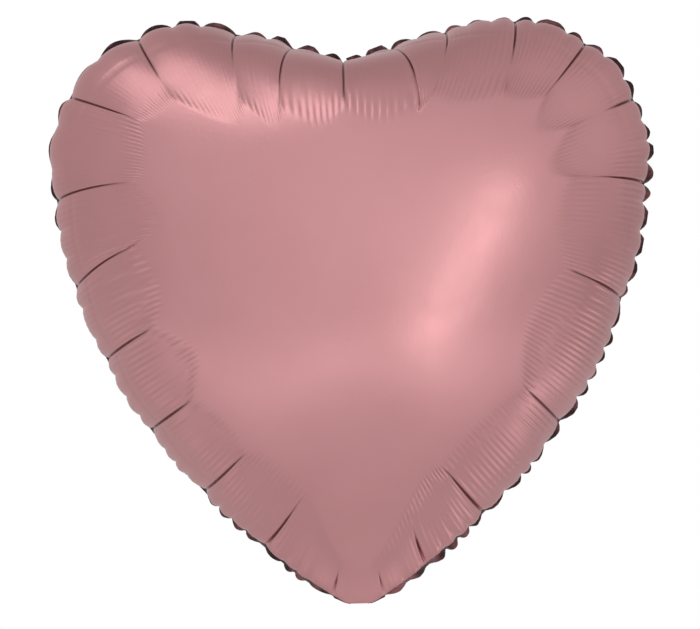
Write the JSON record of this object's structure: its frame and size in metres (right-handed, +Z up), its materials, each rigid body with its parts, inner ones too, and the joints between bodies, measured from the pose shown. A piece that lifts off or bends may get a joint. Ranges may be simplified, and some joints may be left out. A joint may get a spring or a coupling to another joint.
{
  "type": "heart foil balloon",
  "caption": "Gas-filled heart-shaped foil balloon with a puckered welded edge, a self-sealing valve in its neck and a filling tail folded up behind the tip.",
  "frame": {"origin": "middle of the neck where it leaves the heart's tip, the place where a ribbon is tied, in the plane of the seam", "axes": "+Z up from the tip to the notch, +X to the right seen from the front, the front panel faces -Y"},
  "size_m": [0.3866, 0.1882, 0.3728],
  "materials": {
    "rose_foil": "satin",
    "valve_film": "gloss"
  },
  "bodies": {
    "envelope": {"front_panel": "rose_foil", "back_panel": "rose_foil", "seam_band": "rose_foil", "neck_valve_front_film": "valve_film", "neck_valve_back_film": "valve_film"},
    "front_lip": {"valve_front_lip": "valve_film"},
    "back_lip": {"valve_back_lip": "valve_film"},
    "tail": {"tail_front_foil": "rose_foil", "tail_back_foil": "rose_foil", "tail_edge_weld": "rose_foil", "tail_valve_front_film": "valve_film", "tail_valve_back_film": "valve_film"}
  },
  "joints": [
    {"name": "tail_fold", "type": "hinge", "parent": "envelope", "child": "tail", "pos_m": [0, 0, -0.003], "axis": [-1, 0, 0], "range_deg": [0, 240]},
    {"name": "valve_front_lip_open", "type": "hinge", "parent": "envelope", "child": "front_lip", "pos_m": [0, -0.00013, 0.005], "axis": [1, 0, 0], "range_deg": [0, 5], "stiffness_Nm_per_rad": 0.001},
    {"name": "valve_back_lip_open", "type": "hinge", "parent": "envelope", "child": "back_lip", "pos_m": [0, 0.00013, 0.005], "axis": [-1, 0, 0], "range_deg": [0, 5], "stiffness_Nm_per_rad": 0.001}
  ],
  "couplings": [
    {"joint": "valve_back_lip_open", "follows": "valve_front_lip_open", "ratio": 1}
  ]
}
